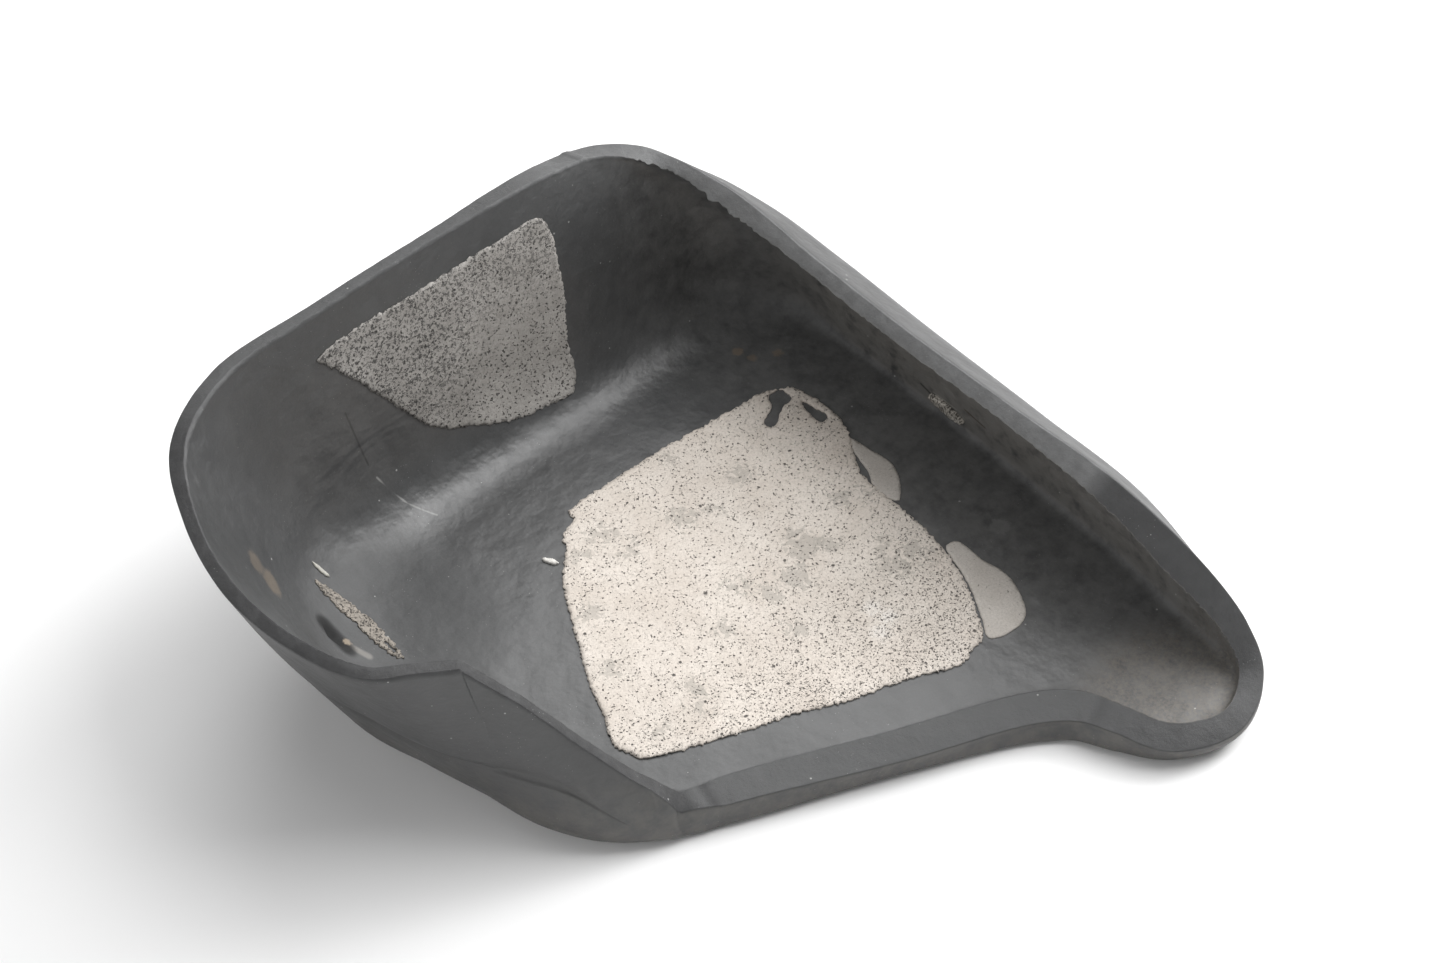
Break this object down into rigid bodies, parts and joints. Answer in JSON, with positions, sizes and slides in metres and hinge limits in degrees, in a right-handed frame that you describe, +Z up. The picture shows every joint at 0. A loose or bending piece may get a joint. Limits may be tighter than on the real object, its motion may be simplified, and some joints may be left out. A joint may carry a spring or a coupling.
{
  "type": "paint roller tray",
  "caption": "Small steep-backed hand tray of thick dark plastic, open at the front, with a half-round pouring spout at one corner and dried paint inside.",
  "frame": {"origin": "centre of the tray's rectangular outline, on the flat underside that stands on the bench", "axes": "+Z up out of the tray, +Y from the open front edge toward the tall back wall, +X toward the side wall that ends in the pouring spout"},
  "size_m": [0.1612, 0.1662, 0.0581],
  "materials": {
    "moulded_plastic": "satin dark grey moulded polyethylene, scuffed and dusty, paler on the knife-cut lip",
    "cream_paint": "dried cream emulsion paint full of fine dark pinholes",
    "grey_paint": "thin dried grey paint, densely speckled",
    "white_paint": "small crumbs of dried white paint"
  },
  "bodies": {
    "root": {"tray_shell": "moulded_plastic", "floor_paint_film": "cream_paint", "floor_spill_back": "cream_paint", "floor_spill_side": "cream_paint", "rear_wall_paint_film": "grey_paint", "side_wall_paint_strip": "grey_paint", "side_wall_paint_fleck": "white_paint", "loose_paint_flake": "white_paint", "right_wall_crust": "white_paint"}
  },
  "joints": []
}
